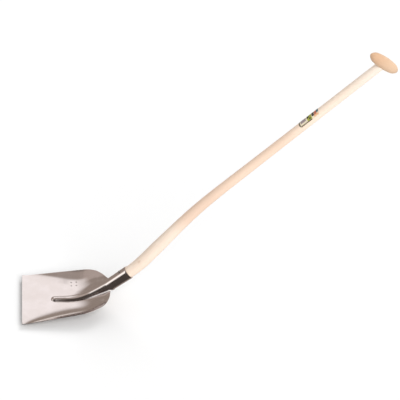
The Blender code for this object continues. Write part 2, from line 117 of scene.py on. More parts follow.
def ride(piece, node):
    """The piece moves with the shovel and stands for one CAD node."""
    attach(piece, "root")
    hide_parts(node)
    faces = len(piece.data.polygons)
    print(piece.name, "replaces", node, "with", faces, "faces")


# %% Grow a round piece ring by ring


def turned(name, profile, sides):
    """A round body along Z from (radius, height) pairs, closed at both ends."""
    begin()
    radius, height = profile[0]
    bpy.ops.mesh.primitive_circle_add(vertices=sides, radius=radius, fill_type="NGON",
                                      location=(0.0, 0.0, height))
    piece = claim(name)
    bpy.ops.object.transform_apply(location=True)
    edit_all()
    for next_radius, next_height in profile[1:]:
        rise = (0.0, 0.0, next_height - height)
        bpy.ops.mesh.extrude_region_move(TRANSFORM_OT_translate={"value": rise})
        scale = next_radius / radius
        bpy.ops.transform.resize(value=(scale, scale, 1.0),
                                 center_override=(0.0, 0.0, next_height))
        radius, height = next_radius, next_height
    outward()
    return piece


# %% Small sums


def smooth(value):
    value = min(1.0, max(0.0, value))
    return value * value * (3.0 - 2.0 * value)


def mix(low, high, share):
    return low + (high - low) * share


def eased(share):
    """Even steps, drawn together towards both ends."""
    return 0.5 - 0.5 * math.cos(math.pi * share)


def finer(stops, parts):
    """Split each step of a list of stops into even parts."""
    result = [stops[0]]
    for first, second in zip(stops, stops[1:]):
        result += [mix(first, second, step / parts) for step in range(1, parts + 1)]
    return result


# %% [markdown]
# ## The line of the stick
# Everything above the pan is set out along one curved line, the middle of the
# stick. It starts at the socket's mouth at the socket's slope, bends up just
# behind it and bends back a little further on. Rivet, grip, nail and sticker
# are placed by their distance along this line, so it is worked out first.

# %% The stick's middle line
SOLE_POINT = 0.050
MOUTH_X = 0.358 - SOLE_POINT
MOUTH_Z = 0.1175
SOCKET_SLOPE = math.radians(39.5)
SOCKET_LENGTH = 0.0889
LOWER_BEND = (math.radians(11.8), -0.025, 0.120)
UPPER_BEND = (math.radians(6.7), 0.205, 0.283)
PATH_STEP = 0.004


def handle_slope(along):
    angle, start, length = LOWER_BEND
    slope = SOCKET_SLOPE + angle * smooth((along - start) / length)
    angle, start, length = UPPER_BEND
    return slope - angle * smooth((along - start) / length)


def handle_point(along):
    """The middle line's point, summed up in short steps from the mouth."""
    count = max(1, round(abs(along) / PATH_STEP))
    step = along / count
    x = MOUTH_X
    z = MOUTH_Z
    for index in range(count):
        slope = handle_slope(step * (index + 0.5))
        x += step * math.cos(slope)
        z += step * math.sin(slope)
    return Vector((x, 0.0, z))


def handle_frame(along):
    """Place at a point of the stick: Z along it, -X to its front, Y to the far side."""
    return Matrix.Translation(handle_point(along)) @ Matrix.Rotation(
        math.pi / 2.0 - handle_slope(along), 4, "Y")


print("the stick's line ends at", handle_point(1.2))

# %% [markdown]
# ## The pressed pan
# The real pan starts as a flat blank that a press dishes: the sole stays flat,
# the side walls and the rear rise out of it, and a rib runs up the middle and
# folds round into the socket. Box modelling gives such a double-curved sheet
# flat spots that polished steel shows at once. So the blank is a grid, and each
# of its points is placed by the pan's own cross sections, as a press would do.
# The sheet then gets its thickness from Solidify and its rounded rim from Bevel.

# %% Sizes of the pan
SHEET = 0.002
GAP = 0.0003
FRONT_HALF_WIDTH = 0.130
CORNER_HALF_WIDTH = 0.1175
CORNER_START = 0.203
REAR_EDGE = 0.296
NECK_HALF_WIDTH = 0.0206
CORNER_POWER = 1.85
SOLE_LENGTH = 0.145
REAR_RISE_RADIUS = 0.195
REAR_RISE_ANGLE = math.radians(26.9)
RIM_RISE_START = 0.012
RIM_SLOPE = 0.170
RIM_HEIGHT = 0.0403
RIM_REAR_RISE = 0.0122
DISH_POWER = 3.4
FRONT_DISH_EXTRA = 11.6
FRONT_DISH_FADE = 0.050
CORNER_DEPTH = 0.006
CORNER_DEPTH_RUN = (0.144, 0.268, 0.273, 0.2935)
CORNER_DEPTH_POWERS = (1.3, 1.1)
REAR_NARROW = 0.075
print("the pan is", 2.0 * FRONT_HALF_WIDTH, "m wide and", REAR_EDGE, "m long")

# %% [markdown]
# The pan's height is the middle line's height in the middle and the rim's
# height at the rim, and it changes slowly at first and fast near the rim. That
# one power curve across the pan makes the flat bottom and the curved walls.

# %% Height and width of the pan


def pan_middle(x):
    """Height of the upper face along the middle: flat, an arc, then straight."""
    run = x - SOLE_LENGTH
    arc_run = REAR_RISE_RADIUS * math.sin(REAR_RISE_ANGLE)
    if run <= 0.0:
        return SHEET
    if run < arc_run:
        return SHEET + REAR_RISE_RADIUS - math.sqrt(REAR_RISE_RADIUS ** 2 - run ** 2)
    arc_rise = REAR_RISE_RADIUS * (1.0 - math.cos(REAR_RISE_ANGLE))
    return SHEET + arc_rise + (run - arc_run) * math.tan(REAR_RISE_ANGLE)


def pan_half_width(x):
    if x <= CORNER_START:
        return mix(FRONT_HALF_WIDTH, CORNER_HALF_WIDTH, x / CORNER_START)
    share = min(1.0, (x - CORNER_START) / (REAR_EDGE - CORNER_START))
    bulge = (1.0 - share ** CORNER_POWER) ** (1.0 / CORNER_POWER)
    return mix(NECK_HALF_WIDTH, CORNER_HALF_WIDTH, bulge)


def rim_height(x):
    ramp = x - RIM_RISE_START
    side = min(RIM_SLOPE * 0.5 * (ramp + math.hypot(ramp, RIM_RISE_START)), RIM_HEIGHT)
    narrowed = (REAR_NARROW - pan_half_width(x)) / (REAR_NARROW - NECK_HALF_WIDTH)
    return SHEET + side + RIM_REAR_RISE * smooth(narrowed)


def corner_depth(x):
    """How far the sheet sinks between the rib and the rim, in the rear corners."""
    start, full, fade, end = CORNER_DEPTH_RUN
    sunk = smooth((x - start) / (full - start))
    faded = smooth((x - fade) / (end - fade))
    return CORNER_DEPTH * sunk * (1.0 - faded)


def hollow(x, y):
    """0 at the rib's foot and at the rim, and 1 where the corner is deepest."""
    foot = rib_half_width(x)
    share = min(1.0, max(0.0, (abs(y) - foot) / (pan_half_width(x) - foot)))
    inner, outer = CORNER_DEPTH_POWERS
    deepest = inner / (inner + outer)
    highest = deepest ** inner * (1.0 - deepest) ** outer
    return share ** inner * (1.0 - share) ** outer / highest


def pan_height(x, y):
    share = min(1.0, abs(y) / pan_half_width(x))
    power = DISH_POWER + FRONT_DISH_EXTRA * math.exp(-x / FRONT_DISH_FADE)
    wall = mix(pan_middle(x), rim_height(x), share ** power)
    return wall - corner_depth(x) * hollow(x, y)


# %% [markdown]
# ## The rib and the socket
# The press draws the rib up from the same sheet as the pan, so it isn't joined
# on as a second piece but shares the pan's grid. Its section is half an ellipse
# on two short legs. Towards the neck it grows and tilts until it lies square to
# the stick, and past the neck its legs curl inwards round the wood. The section
# is always walked in even steps, so the same columns of the grid run from the
# rib's tip to the socket's mouth.

# %% Sizes of the rib and the socket
RIB_TIP = 0.097
RIB_NOSE = 0.014
RIB_TIP_SHARE = 0.22
RIB_HALF_WIDTH = 0.012
RIB_HEIGHT = 0.0096
RIB_GROWTH_START = 0.110
RIB_TILT_START = 0.130
RIB_GROWTH_POWER = 1.9
NECK_HEIGHT = 0.0294
SOCKET_RADIUS_NECK = 0.0206
SOCKET_RADIUS_MOUTH = 0.0224
SOCKET_CURL = math.radians(66.0)
SOCKET_CURL_RUN = 0.16
FOOT_FILLET_TIP = 0.003
FOOT_FILLET_NECK = 0.014
WING_FILLET_SHARE = 0.5
RIB_FILLET_SHARE = 0.35
FOOT_HIGHLIGHT_INSET = 0.0012
print("the rib grows from", RIB_HEIGHT, "to", NECK_HEIGHT, "m")

# %% One half of a section, from foot to crest


def even_points(points, count):
    """Walk a polyline and return count + 1 points at even distances."""
    lengths = [0.0]
    for first, second in zip(points, points[1:]):
        lengths.append(lengths[-1] + math.dist(first, second))
    result = []
    index = 0
    for step in range(count + 1):
        target = lengths[-1] * step / count
        while index < len(lengths) - 2 and lengths[index + 1] < target:
            index += 1
        share = (target - lengths[index]) / (lengths[index + 1] - lengths[index])
        share = min(1.0, max(0.0, share))
        first = points[index]
        second = points[index + 1]
        result.append((mix(first[0], second[0], share), mix(first[1], second[1], share)))
    return result


ARC_STEPS = 36
LEG_STEPS = 24


def rib_section(half_width, height, curl, leg, count):
    """(sideways, above the foot) from the foot to the crest."""
    crest = min(height, half_width)
    points = []
    for step in range(ARC_STEPS + 1):
        turn = 0.5 * math.pi * step / ARC_STEPS
        points.append((half_width * math.sin(turn), crest * math.cos(turn)))
    for step in range(1, LEG_STEPS + 1):
        bend = curl * step / LEG_STEPS
        if curl > 0.0:
            arc = leg / curl
            points.append((half_width - arc * (1.0 - math.cos(bend)), -arc * math.sin(bend)))
        elif leg > 0.0:
            points.append((half_width, -leg * step / LEG_STEPS))
    lowest = points[-1][1]
    half = even_points([(side, up - lowest) for side, up in points], count)
    return list(reversed(half))


# %% The rib's rows in the pan, and the socket's rows


def rib_half_width(x):
    grown = smooth((x - RIB_GROWTH_START) / (REAR_EDGE - RIB_GROWTH_START))
    return mix(RIB_HALF_WIDTH, NECK_HALF_WIDTH, grown)


def rib_height(x):
    grown = max(0.0, (x - RIB_GROWTH_START) / (REAR_EDGE - RIB_GROWTH_START))
    return RIB_HEIGHT + (NECK_HEIGHT - RIB_HEIGHT) * grown ** RIB_GROWTH_POWER


def rib_row(x, count):
    half_width = rib_half_width(x)
    height = rib_height(x)
    if x < RIB_TIP + RIB_NOSE:
        ahead = (RIB_TIP + RIB_NOSE - x) / RIB_NOSE
        share = math.sqrt(1.0 - ahead ** 2) if ahead < 1.0 else 0.0
        reach = half_width * max(share, RIB_TIP_SHARE)
        row = []
        for step in range(count + 1):
            turn = 0.5 * math.pi * step / count
            y = reach * math.cos(turn)
            z = pan_height(x, y) + height * share * math.sin(turn)
            row.append(Vector((x - SOLE_POINT, y, z)))
        return row
    tilt = SOCKET_SLOPE * smooth((x - RIB_TILT_START) / (REAR_EDGE - RIB_TILT_START))
    up = Vector((-math.sin(tilt), 0.0, math.cos(tilt)))
    z = pan_height(x, half_width)
    section = rib_section(half_width, height, 0.0, max(0.0, height - half_width), count)
    return [Vector((x - SOLE_POINT, side, z)) + up * above for side, above in section]


def socket_radius(share):
    return mix(SOCKET_RADIUS_NECK, SOCKET_RADIUS_MOUTH, share)


def socket_row(share, count):
    """share is 0 at the neck and 1 at the mouth."""
    radius = socket_radius(share)
    folded = smooth(share / SOCKET_CURL_RUN)
    leg = mix(NECK_HEIGHT - NECK_HALF_WIDTH, radius * SOCKET_CURL, folded)
    section = rib_section(radius, radius, SOCKET_CURL * folded, leg, count)
    crest = section[-1][1]
    place = handle_frame(SOCKET_LENGTH * (share - 1.0))
    return [place @ Vector((crest - radius - above, side, 0.0)) for side, above in section]


print("the socket's mouth is", round(2.0 * socket_radius(1.0), 4), "m across")

# %% All rows of the sheet, from the front edge to the socket's mouth
WING_COLUMNS = 34
RIB_COLUMNS = 20
WING_CROWDING = 0.8
FRONT_STOPS = [0.0, 0.022, 0.045, 0.068, 0.085, 0.093]
NOSE_STOPS = [RIB_TIP + RIB_NOSE * share for share in (0.0, 0.05, 0.17, 0.38, 0.66, 1.0)]
MIDDLE_STOPS = [0.122, 0.136, 0.150, 0.165, 0.180, 0.195, 0.208, 0.221, 0.233, 0.244, 0.254]
REAR_STOPS = [0.263, 0.271, 0.278, 0.284, 0.289, 0.2932]
SOCKET_STOPS = [0.0, 0.03, 0.06, 0.10, 0.16, 0.35, 0.65, 1.0]
PAN_PARTS = 4
SOCKET_PARTS = 5


def mirrored(point):
    return Vector((point.x, -point.y, point.z))


def polyline_point(points, distance):
    """The point at a distance along a polyline."""
    for first, second in zip(points, points[1:]):
        step = (second - first).length
        if distance <= step:
            return first.lerp(second, distance / step)
        distance -= step
    return points[-1]


def filleted(wing, rib, x):
    """Round the corner between the wing and the rib with one smooth curve."""
    grown = smooth((x - RIB_TILT_START) / (REAR_EDGE - RIB_TILT_START))
    outwards = [rib[0]] + list(reversed(wing))
    lengths = [sum((second - first).length for first, second in zip(line, line[1:]))
               for line in (outwards, rib)]
    reach = mix(FOOT_FILLET_TIP, FOOT_FILLET_NECK, grown ** 2)
    reach = min(reach, WING_FILLET_SHARE * lengths[0], RIB_FILLET_SHARE * lengths[1])
    start = polyline_point(outwards, reach)
    end = polyline_point(rib, reach)
    foot = rib[0]
    result = []
    for side, line in ((-1.0, outwards), (1.0, rib)):
        distance = 0.0
        moved = []
        for index, point in enumerate(line):
            if index:
                distance += (point - line[index - 1]).length
            if distance < reach:
                t = 0.5 + 0.5 * side * distance / reach
                curve = start * (1.0 - t) ** 2 + foot * 2.0 * t * (1.0 - t) + end * t ** 2
                moved.append(curve)
            else:
                moved.append(point)
        result.append(moved)
    return list(reversed(result[0][1:])), result[1]


def crowded(share):
    """Closer columns at the rib's foot and at the rim."""
    return mix(share, eased(share), WING_CROWDING)


def sheet_rows():
    rows = []
    for x in finer(FRONT_STOPS + NOSE_STOPS + MIDDLE_STOPS + REAR_STOPS, PAN_PARTS):
        rib = rib_row(x, RIB_COLUMNS)
        foot = rib[0].y
        reach = pan_half_width(x) - foot
        wing = []
        for step in range(WING_COLUMNS, 0, -1):
            y = foot + reach * crowded(step / WING_COLUMNS)
            wing.append(Vector((x - SOLE_POINT, y, pan_height(x, y))))
        wing, rib = filleted(wing, rib, x)
        rows.append(wing + rib)
    for share in finer(SOCKET_STOPS, SOCKET_PARTS):
        rib = socket_row(share, RIB_COLUMNS)
        rows.append([rib[0]] * WING_COLUMNS + rib)
    return [row + [mirrored(point) for point in reversed(row[:-1])] for row in rows]


rows = sheet_rows()
print("the sheet has", len(rows), "rows of", len(rows[0]), "points")

# %% [markdown]
# The grid's points go to their places row by row. In the socket's rows the
# wings have no width, so their points coincide and merge away. Each point also
# keeps three notes for the steel's finish, as attributes. "blank" is where it
# lay on the flat blank, along and across, so that grinding marks follow the
# steel round the bends as they do on the real pressing. "rim" is how far it is
# from the rim, and "foot" how far from a line just inside the rib's foot, where
# the painted highlight runs.

# %% Press the blank
begin()
last_row = len(rows) - 1
last_column = len(rows[0]) - 1
middle_column = last_column // 2
bpy.ops.mesh.primitive_grid_add(x_subdivisions=last_row, y_subdivisions=last_column, size=1.0)
pan = claim("pressed_pan")

along_blank = [0.0]
for first, second in zip(rows, rows[1:]):
    along_blank.append(along_blank[-1] + (second[middle_column] - first[middle_column]).length)
across_blank = []
for row in rows:
    reach = [0.0]
    for first, second in zip(row, row[1:]):
        reach.append(reach[-1] - (second - first).length)
    across_blank.append([value - reach[middle_column] for value in reach])

NOTES = {"blank": "FLOAT_VECTOR", "rim": "FLOAT", "foot": "FLOAT"}
for note, kind in NOTES.items():
    pan.data.attributes.new(note, kind, "POINT")
blank, rim, rib_foot = (pan.data.attributes[note] for note in NOTES)
for vertex in pan.data.vertices:
    row = round((vertex.co.x + 0.5) * last_row)
    column = round((0.5 - vertex.co.y) * last_column)
    vertex.co = rows[row][column]
    across = across_blank[row][column]
    blank.data[vertex.index].vector = (along_blank[row], across, 0.0)
    to_side = across_blank[row][0] - abs(across)
    rim.data[vertex.index].value = min(to_side, along_blank[row])
    from_foot = abs(across) - abs(across_blank[row][WING_COLUMNS])
    rib_foot.data[vertex.index].value = abs(from_foot + FOOT_HIGHLIGHT_INSET)
print("the flat blank is", round(along_blank[-1], 4), "m long")

# %% Merge the socket's spare points
edit_all()
bpy.ops.mesh.remove_doubles(threshold=0.00001)
bpy.ops.object.mode_set(mode="OBJECT")
print("the sheet keeps", len(pan.data.vertices), "points")

# %% [markdown]
# Solidify gives the sheet its thickness downwards, away from the face that was
# set out. The rivet's hole is cut by a Boolean with a pin, which then goes. The
# rim is ground round, so Bevel takes every edge that is sharper than a bend.

# %% Thickness, rivet hole and rounded rim
RIVET_AT = -0.026
RIVET_RADIUS = 0.0025
RIVET_SIDES = 32
PIN_SHARE = 0.7
PIN_LENGTH = 0.012
RIM_ROUND = 0.0005
RIM_ANGLE = math.radians(55.0)
PAN_SMOOTH = 40.0
add_modifier(pan, "SOLIDIFY", "sheet", thickness=SHEET, offset=-1.0)

begin()
bpy.ops.mesh.primitive_cylinder_add(vertices=RIVET_SIDES, radius=RIVET_RADIUS + GAP,
                                    depth=PIN_LENGTH)
pin = claim("hole_pin")
settle(pin, handle_frame(RIVET_AT) @ Matrix.Translation((-socket_radius(PIN_SHARE), 0.0, 0.0))
       @ Matrix.Rotation(math.pi / 2.0, 4, "Y"))
cut_with(pan, pin)
add_modifier(pan, "BEVEL", "rim", width=RIM_ROUND, segments=2, limit_method="ANGLE",
             angle_limit=RIM_ANGLE)
soften(PAN_SMOOTH)
ride(pan, "blade")

# %% [markdown]
# ## The stick
# The stick is ash or beech, turned to a belly near the socket and slimmer
# towards the top, then steamed and bent. A curve with a round section would
# bend as well, but the belly, the tenon and the rounded foot are plain to set
# when it is extruded ring by ring along the middle line: move, turn and scale,
# as one would by hand. Each point keeps its place in the straight stick as the
# attribute "grain", so the wood's figure bends with the wood.

# %% Sizes of the stick
FOOT_LENGTH = 0.124
FOOT_RADIUS = 0.0085
FOOT_CLEARANCE = 0.0006
WOOD_RADIUS_MOUTH = 0.0198
WOOD_RADIUS_BELLY = 0.0212
WOOD_RADIUS_TOP = 0.0149
BELLY_END = 0.150
TAPER_LENGTH = 0.270
GRIP_AT = 1.193
GRIP_RADIUS = 0.0207
TENON_TIP_RADIUS = 0.0122
TENON_START = GRIP_AT - GRIP_RADIUS
TENON_TOP = 1.200
FOOT_ROUNDING = [(0.0, 0.60), (0.0012, 0.86)]
FOOT_FULL = 0.0035
STICK_STEP = 0.008
STICK_SIDES = 48
SMALLEST_TURN = 1e-7
print("the stick is", 2.0 * WOOD_RADIUS_BELLY, "m thick in its belly")


def handle_radius(along):
    neck = SOCKET_RADIUS_NECK - SHEET - GAP - FOOT_CLEARANCE
    if along < -SOCKET_LENGTH:
        share = smooth((-SOCKET_LENGTH - along) / (FOOT_LENGTH - SOCKET_LENGTH))
        return mix(neck, FOOT_RADIUS, share)
    if along < 0.0:
        return mix(neck, WOOD_RADIUS_MOUTH, (along + SOCKET_LENGTH) / SOCKET_LENGTH)
    if along < BELLY_END:
        return mix(WOOD_RADIUS_MOUTH, WOOD_RADIUS_BELLY, smooth(along / (0.5 * BELLY_END)))
    slim = math.exp(-(along - BELLY_END) / TAPER_LENGTH)
    return mix(WOOD_RADIUS_TOP, WOOD_RADIUS_BELLY, slim)


def tenon_radius(along):
    """The straight taper inside the grip."""
    share = (along - TENON_START) / (TENON_TOP - TENON_START)
    return mix(handle_radius(TENON_START), TENON_TIP_RADIUS, share)


# %% Extrude the stick along its line
steps = round((TENON_START + FOOT_LENGTH) / STICK_STEP)
stops = [FOOT_FULL - FOOT_LENGTH]
stops += [mix(-FOOT_LENGTH, TENON_START, step / steps) for step in range(1, steps + 1)]
stick_rings = [(run - FOOT_LENGTH, share * FOOT_RADIUS) for run, share in FOOT_ROUNDING]
stick_rings += [(stop, handle_radius(stop)) for stop in stops]
stick_rings.append((TENON_TOP, TENON_TIP_RADIUS))

begin()
along, radius = stick_rings[0]
bpy.ops.mesh.primitive_circle_add(vertices=STICK_SIDES, radius=radius, fill_type="NGON")
stick = claim("bent_stick")
settle(stick, handle_frame(along))
edit_all()
for next_along, next_radius in stick_rings[1:]:
    place = handle_point(next_along)
    move = place - handle_point(along)
    bpy.ops.mesh.extrude_region_move(TRANSFORM_OT_translate={"value": move})
    turn = handle_slope(next_along) - handle_slope(along)
    if abs(turn) > SMALLEST_TURN:
        bpy.ops.transform.rotate(value=turn, orient_axis="Y", center_override=place)
    scale = next_radius / radius
    bpy.ops.transform.resize(value=(scale, scale, scale), center_override=place)
    along, radius = next_along, next_radius
outward()
print("the stick has", len(stick_rings), "rings")

# %% Keep each point's place in the straight stick
grain = stick.data.attributes.new("grain", "FLOAT_VECTOR", "POINT")
to_rings = [(ring_at, handle_frame(ring_at).inverted()) for ring_at, _ in stick_rings]
for vertex in stick.data.vertices:
    ring_at, to_ring = to_rings[vertex.index // STICK_SIDES]
    place = to_ring @ vertex.co
    grain.data[vertex.index].vector = (place.x, place.y, place.z + ring_at)
soften()
ride(stick, "handle")

# %% [markdown]
# ## The cross grip
# A short barrel with round ends, turned on a lathe and bored for the stick. A
# stretched ball would lack the barrel, so it is grown ring by ring along Z and
# then laid across the stick. The bore is cut with the stick's own taper plus a
# hair's gap. A cut drops what was noted at the points, so their place in the
# grip's own wood, the attribute "grain", is noted after the last one.

# %% Turn the grip
GRIP_LENGTH = 0.128
GRIP_TAPER = 0.0085
GRIP_ROUND_SHARE = 0.36
GRIP_TURN = math.radians(102.0)
GRIP_STOPS = 28
GRIP_SIDES = 64


def grip_radius(share):
    barrel = GRIP_RADIUS - GRIP_TAPER * share ** 2
    end = max(0.0, (share - 1.0 + GRIP_ROUND_SHARE) / GRIP_ROUND_SHARE)
    return barrel * math.sqrt(max(0.0, 1.0 - end ** 2))


half_grip = []
for step in range(GRIP_STOPS):
    share = math.sin(0.5 * math.pi * step / GRIP_STOPS)
    half_grip.append((grip_radius(share), 0.5 * GRIP_LENGTH * share))
grip_profile = [(radius, -run) for radius, run in reversed(half_grip[1:])] + half_grip
grip = turned("cross_grip", grip_profile, GRIP_SIDES)
grip_frame = handle_frame(GRIP_AT) @ Matrix.Rotation(GRIP_TURN, 4, "Z")
grip_place = grip_frame @ Matrix.Rotation(-math.pi / 2.0, 4, "X")
settle(grip, grip_place)

# %% Bore it for the stick and the nail
NAIL_AT = 1.188
NAIL_RADIUS = 0.0014
NAIL_LENGTH = 0.030
NAIL_HEAD_RADIUS = 0.0032
NAIL_HEAD_THICKNESS = 0.0010
NAIL_SINK = 0.0022
NAIL_HOLE_SPARE = 0.002
SINK_CUT = 0.012
BORE_RUN_OUT = 0.004


def nail_frame():
    """Z out of the grip's far side, origin under the sunk head."""
    across = handle_frame(NAIL_AT) @ Matrix.Rotation(GRIP_TURN, 4, "Z")
    depth = math.sqrt(GRIP_RADIUS ** 2 - (GRIP_AT - NAIL_AT) ** 2) - NAIL_SINK
    return across @ Matrix.Rotation(math.pi / 2.0, 4, "Y") @ Matrix.Translation((0.0, 0.0, depth))


def cut_round(piece, name, low_radius, high_radius, depth, place, sides=48):
    """Cut a round hole, straight or tapered, out of a piece."""
    begin()
    bpy.ops.mesh.primitive_cone_add(vertices=sides, radius1=low_radius, radius2=high_radius,
                                    depth=depth)
    cutter = claim(name)
    settle(cutter, place)
    cut_with(piece, cutter)


bore_low = TENON_START - BORE_RUN_OUT
bore_high = TENON_TOP + GAP
cut_round(grip, "grip_bore", tenon_radius(bore_low) + GAP, tenon_radius(bore_high) + GAP,
          bore_high - bore_low, handle_frame(0.5 * (bore_low + bore_high)))
hole_middle = 0.5 * NAIL_HOLE_SPARE - 0.5 * NAIL_LENGTH
cut_round(grip, "nail_hole", NAIL_RADIUS + GAP, NAIL_RADIUS + GAP, NAIL_LENGTH + NAIL_HOLE_SPARE,
          nail_frame() @ Matrix.Translation((0.0, 0.0, hole_middle)), sides=16)
cut_round(grip, "nail_sink", NAIL_HEAD_RADIUS + GAP, NAIL_HEAD_RADIUS + GAP, SINK_CUT,
          nail_frame() @ Matrix.Translation((0.0, 0.0, 0.5 * SINK_CUT - GAP)), sides=24)

# %% Keep each point's place in the grip's wood
along_grip = grip.data.attributes.new("grain", "FLOAT_VECTOR", "POINT")
to_grip = grip_place.inverted()
for vertex in grip.data.vertices:
    along_grip.data[vertex.index].vector = to_grip @ vertex.co
soften()
ride(grip, "t_grip")

# %% [markdown]
# ## Rivet, washer and nail
# One rivet holds the socket to the stick. Its round head sits on the socket's
# crest, its shank goes through the wood, and its tail is hammered over a washer
# underneath. A nail that is sunk in the grip keeps the grip from coming off.
# Rivet and nail are round bodies with a step or two, so a profile that is grown
# ring by ring gives each as one closed skin. The washer is a widened ring.

# %% The rivet
RIVET_HEAD_RADIUS = 0.0056
RIVET_HEAD_HEIGHT = 0.0026
RIVET_TAIL_RADIUS = 0.0044
RIVET_TAIL_HEIGHT = 0.0022
WASHER_RADIUS = 0.0065
WASHER_THICKNESS = 0.0012
WASHER_SINK = 0.0016
DOME_STEPS = 7
DOME_ANGLE = math.radians(82.0)

washer_seat = handle_radius(RIVET_AT) - WASHER_SINK
across_stick = handle_frame(RIVET_AT) @ Matrix.Rotation(-math.pi / 2.0, 4, "Y")


def dome(radius, height, base, direction):
    """Rings of a low round head over a base."""
    turns = [DOME_ANGLE * step / DOME_STEPS for step in range(DOME_STEPS + 1)]
    return [(radius * math.cos(turn), base + direction * height * math.sin(turn))
            for turn in turns]


crest = socket_radius(1.0 + RIVET_AT / SOCKET_LENGTH) + GAP
tail = -(washer_seat + GAP + WASHER_THICKNESS + GAP)
rivet_profile = list(reversed(dome(RIVET_TAIL_RADIUS, RIVET_TAIL_HEIGHT, tail, -1.0)))
rivet_profile += [(RIVET_RADIUS, tail), (RIVET_RADIUS, crest)]
rivet_profile += dome(RIVET_HEAD_RADIUS, RIVET_HEAD_HEIGHT, crest, 1.0)
rivet = turned("socket_rivet_head", rivet_profile, RIVET_SIDES)
settle(rivet, across_stick)
soften()
ride(rivet, "socket_rivet")

# %% The washer
WASHER_SIDES = 40
WASHER_ROUND = 0.0002
begin()
bpy.ops.mesh.primitive_circle_add(vertices=WASHER_SIDES, radius=RIVET_RADIUS + GAP)
washer = claim("tail_washer")
edit_all()
bpy.ops.mesh.extrude_region_move()
widen = WASHER_RADIUS / (RIVET_RADIUS + GAP)
bpy.ops.transform.resize(value=(widen, widen, 1.0), center_override=(0.0, 0.0, 0.0))
bpy.ops.object.mode_set(mode="OBJECT")
add_modifier(washer, "SOLIDIFY", "washer_plate", thickness=WASHER_THICKNESS, offset=0.0)
outward()
add_modifier(washer, "BEVEL", "washer_edge", width=WASHER_ROUND, segments=2,
             limit_method="ANGLE")
settle(washer, across_stick @ Matrix.Translation(
    (0.0, 0.0, -(washer_seat + GAP + 0.5 * WASHER_THICKNESS))))
soften()
ride(washer, "rivet_washer")

# %% The nail
NAIL_SIDES = 24
NAIL_POINT = 0.003
NAIL_TIP_SHARE = 0.25
nail_profile = [
    (NAIL_TIP_SHARE * NAIL_RADIUS, -NAIL_LENGTH),
    (NAIL_RADIUS, NAIL_POINT - NAIL_LENGTH),
    (NAIL_RADIUS, 0.0),
    (NAIL_HEAD_RADIUS, 0.0),
    (NAIL_HEAD_RADIUS, 0.7 * NAIL_HEAD_THICKNESS),
    (0.9 * NAIL_HEAD_RADIUS, NAIL_HEAD_THICKNESS),
]
nail = turned("sunk_nail", nail_profile, NAIL_SIDES)
settle(nail, nail_frame())
soften()
ride(nail, "grip_nail")

# %% [markdown]
# ## The sticker
# A printed sticker is wrapped round the front of the stick, with round corners.
# A flat grid is laid round the wood point by point, because it has to keep one
# hair's distance from a taper. Its own UV map stays as on the flat sticker, and
# the print is mixed from it later.

# %% Wrap the sticker
LABEL_START = 0.826
LABEL_LENGTH = 0.086
LABEL_HALF_ANGLE = math.radians(72.0)
LABEL_TURN = math.radians(-5.0)
LABEL_CORNER = 0.006
LABEL_THICKNESS = 0.0003
LABEL_ROWS = 64
LABEL_COLUMNS = 40

begin()
bpy.ops.mesh.primitive_grid_add(x_subdivisions=LABEL_COLUMNS, y_subdivisions=LABEL_ROWS, size=1.0)
sticker = claim("printed_sticker")
for vertex in sticker.data.vertices:
    run = LABEL_LENGTH * eased(vertex.co.y + 0.5)
    along = LABEL_START + run
    to_end = min(run, LABEL_LENGTH - run, LABEL_CORNER)
    trim = LABEL_CORNER - math.sqrt(max(0.0, LABEL_CORNER ** 2 - (LABEL_CORNER - to_end) ** 2))
    reach = LABEL_HALF_ANGLE - trim / handle_radius(along)
    radius = handle_radius(along) + GAP + LABEL_THICKNESS
    turn = math.pi + LABEL_TURN + reach * 2.0 * vertex.co.x
    around = Vector((radius * math.cos(turn), radius * math.sin(turn), 0.0))
    vertex.co = handle_frame(along) @ around
layer = sticker.data.uv_layers.active
for loop in sticker.data.loops:
    u, v = layer.data[loop.index].uv
    layer.data[loop.index].uv = (u, eased(v))

# %% Turn its faces outwards, then give it its thickness
label_middle = handle_point(LABEL_START + 0.5 * LABEL_LENGTH)
outer = sum(face.normal.dot(face.center - label_middle) > 0.0 for face in sticker.data.polygons)
if outer < len(sticker.data.polygons) / 2:
    edit_all()
    bpy.ops.mesh.flip_normals()
    bpy.ops.object.mode_set(mode="OBJECT")
add_modifier(sticker, "SOLIDIFY", "sticker_film", thickness=LABEL_THICKNESS, offset=-1.0)
soften()
ride(sticker, "label")

# %% [markdown]
# ## Shader sums
# A node tree is easier to read as a sum. The class below wraps one socket, so
# that `1.0 - mask * 0.5` adds its Math nodes by itself. Every other node comes
# from one method that takes the node's type, its settings and its inputs.

# %% A socket that can be used in sums


class Value:
    """One socket of a node tree, which can be added, subtracted and multiplied."""

    def __init__(self, recipe, socket):
        self.recipe = recipe
        self.socket = socket

    def __add__(self, other):
        return self.recipe.maths("ADD", self, other)

    __radd__ = __add__

    def __sub__(self, other):
        return self.recipe.maths("SUBTRACT", self, other)

    def __rsub__(self, other):
        return self.recipe.maths("SUBTRACT", other, self)

    def __mul__(self, other):
        return self.recipe.maths("MULTIPLY", self, other)

    __rmul__ = __mul__

    def also(self, output):
        """Another output of the same node."""
        return Value(self.recipe, self.socket.node.outputs[output])


# %% The node tree of a material or of the world


